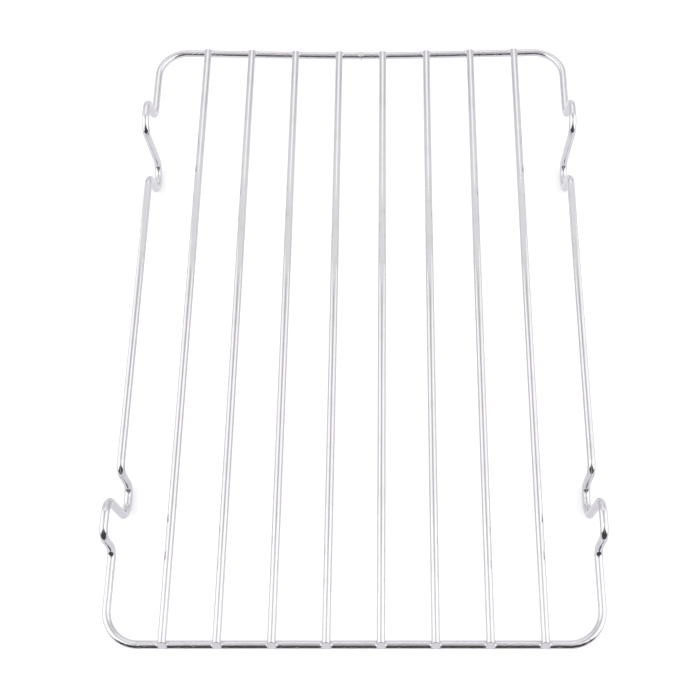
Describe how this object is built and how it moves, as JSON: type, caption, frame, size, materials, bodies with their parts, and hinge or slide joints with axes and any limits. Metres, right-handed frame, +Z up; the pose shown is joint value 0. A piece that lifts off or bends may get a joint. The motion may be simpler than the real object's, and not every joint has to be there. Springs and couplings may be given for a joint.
{
  "type": "roasting rack",
  "caption": "Flat rack of welded round wire: straight bars on a rounded rectangular frame whose zigzag side bends let it stand either way up in a roasting pan.",
  "frame": {"origin": "on the ground under the feet, at the centre of the rack", "axes": "+Y along the bars towards the butt welded end, +X to the right seen from the other end, +Z up with the bars on top of the end wires"},
  "size_m": [0.234, 0.3343, 0.0435],
  "materials": {
    "wire": "bright plated"
  },
  "bodies": {
    "root": {"frame_wire": "wire", "bar_1": "wire", "bar_2": "wire", "bar_3": "wire", "bar_4": "wire", "bar_5": "wire", "bar_6": "wire", "bar_7": "wire", "bar_8": "wire"}
  },
  "joints": []
}
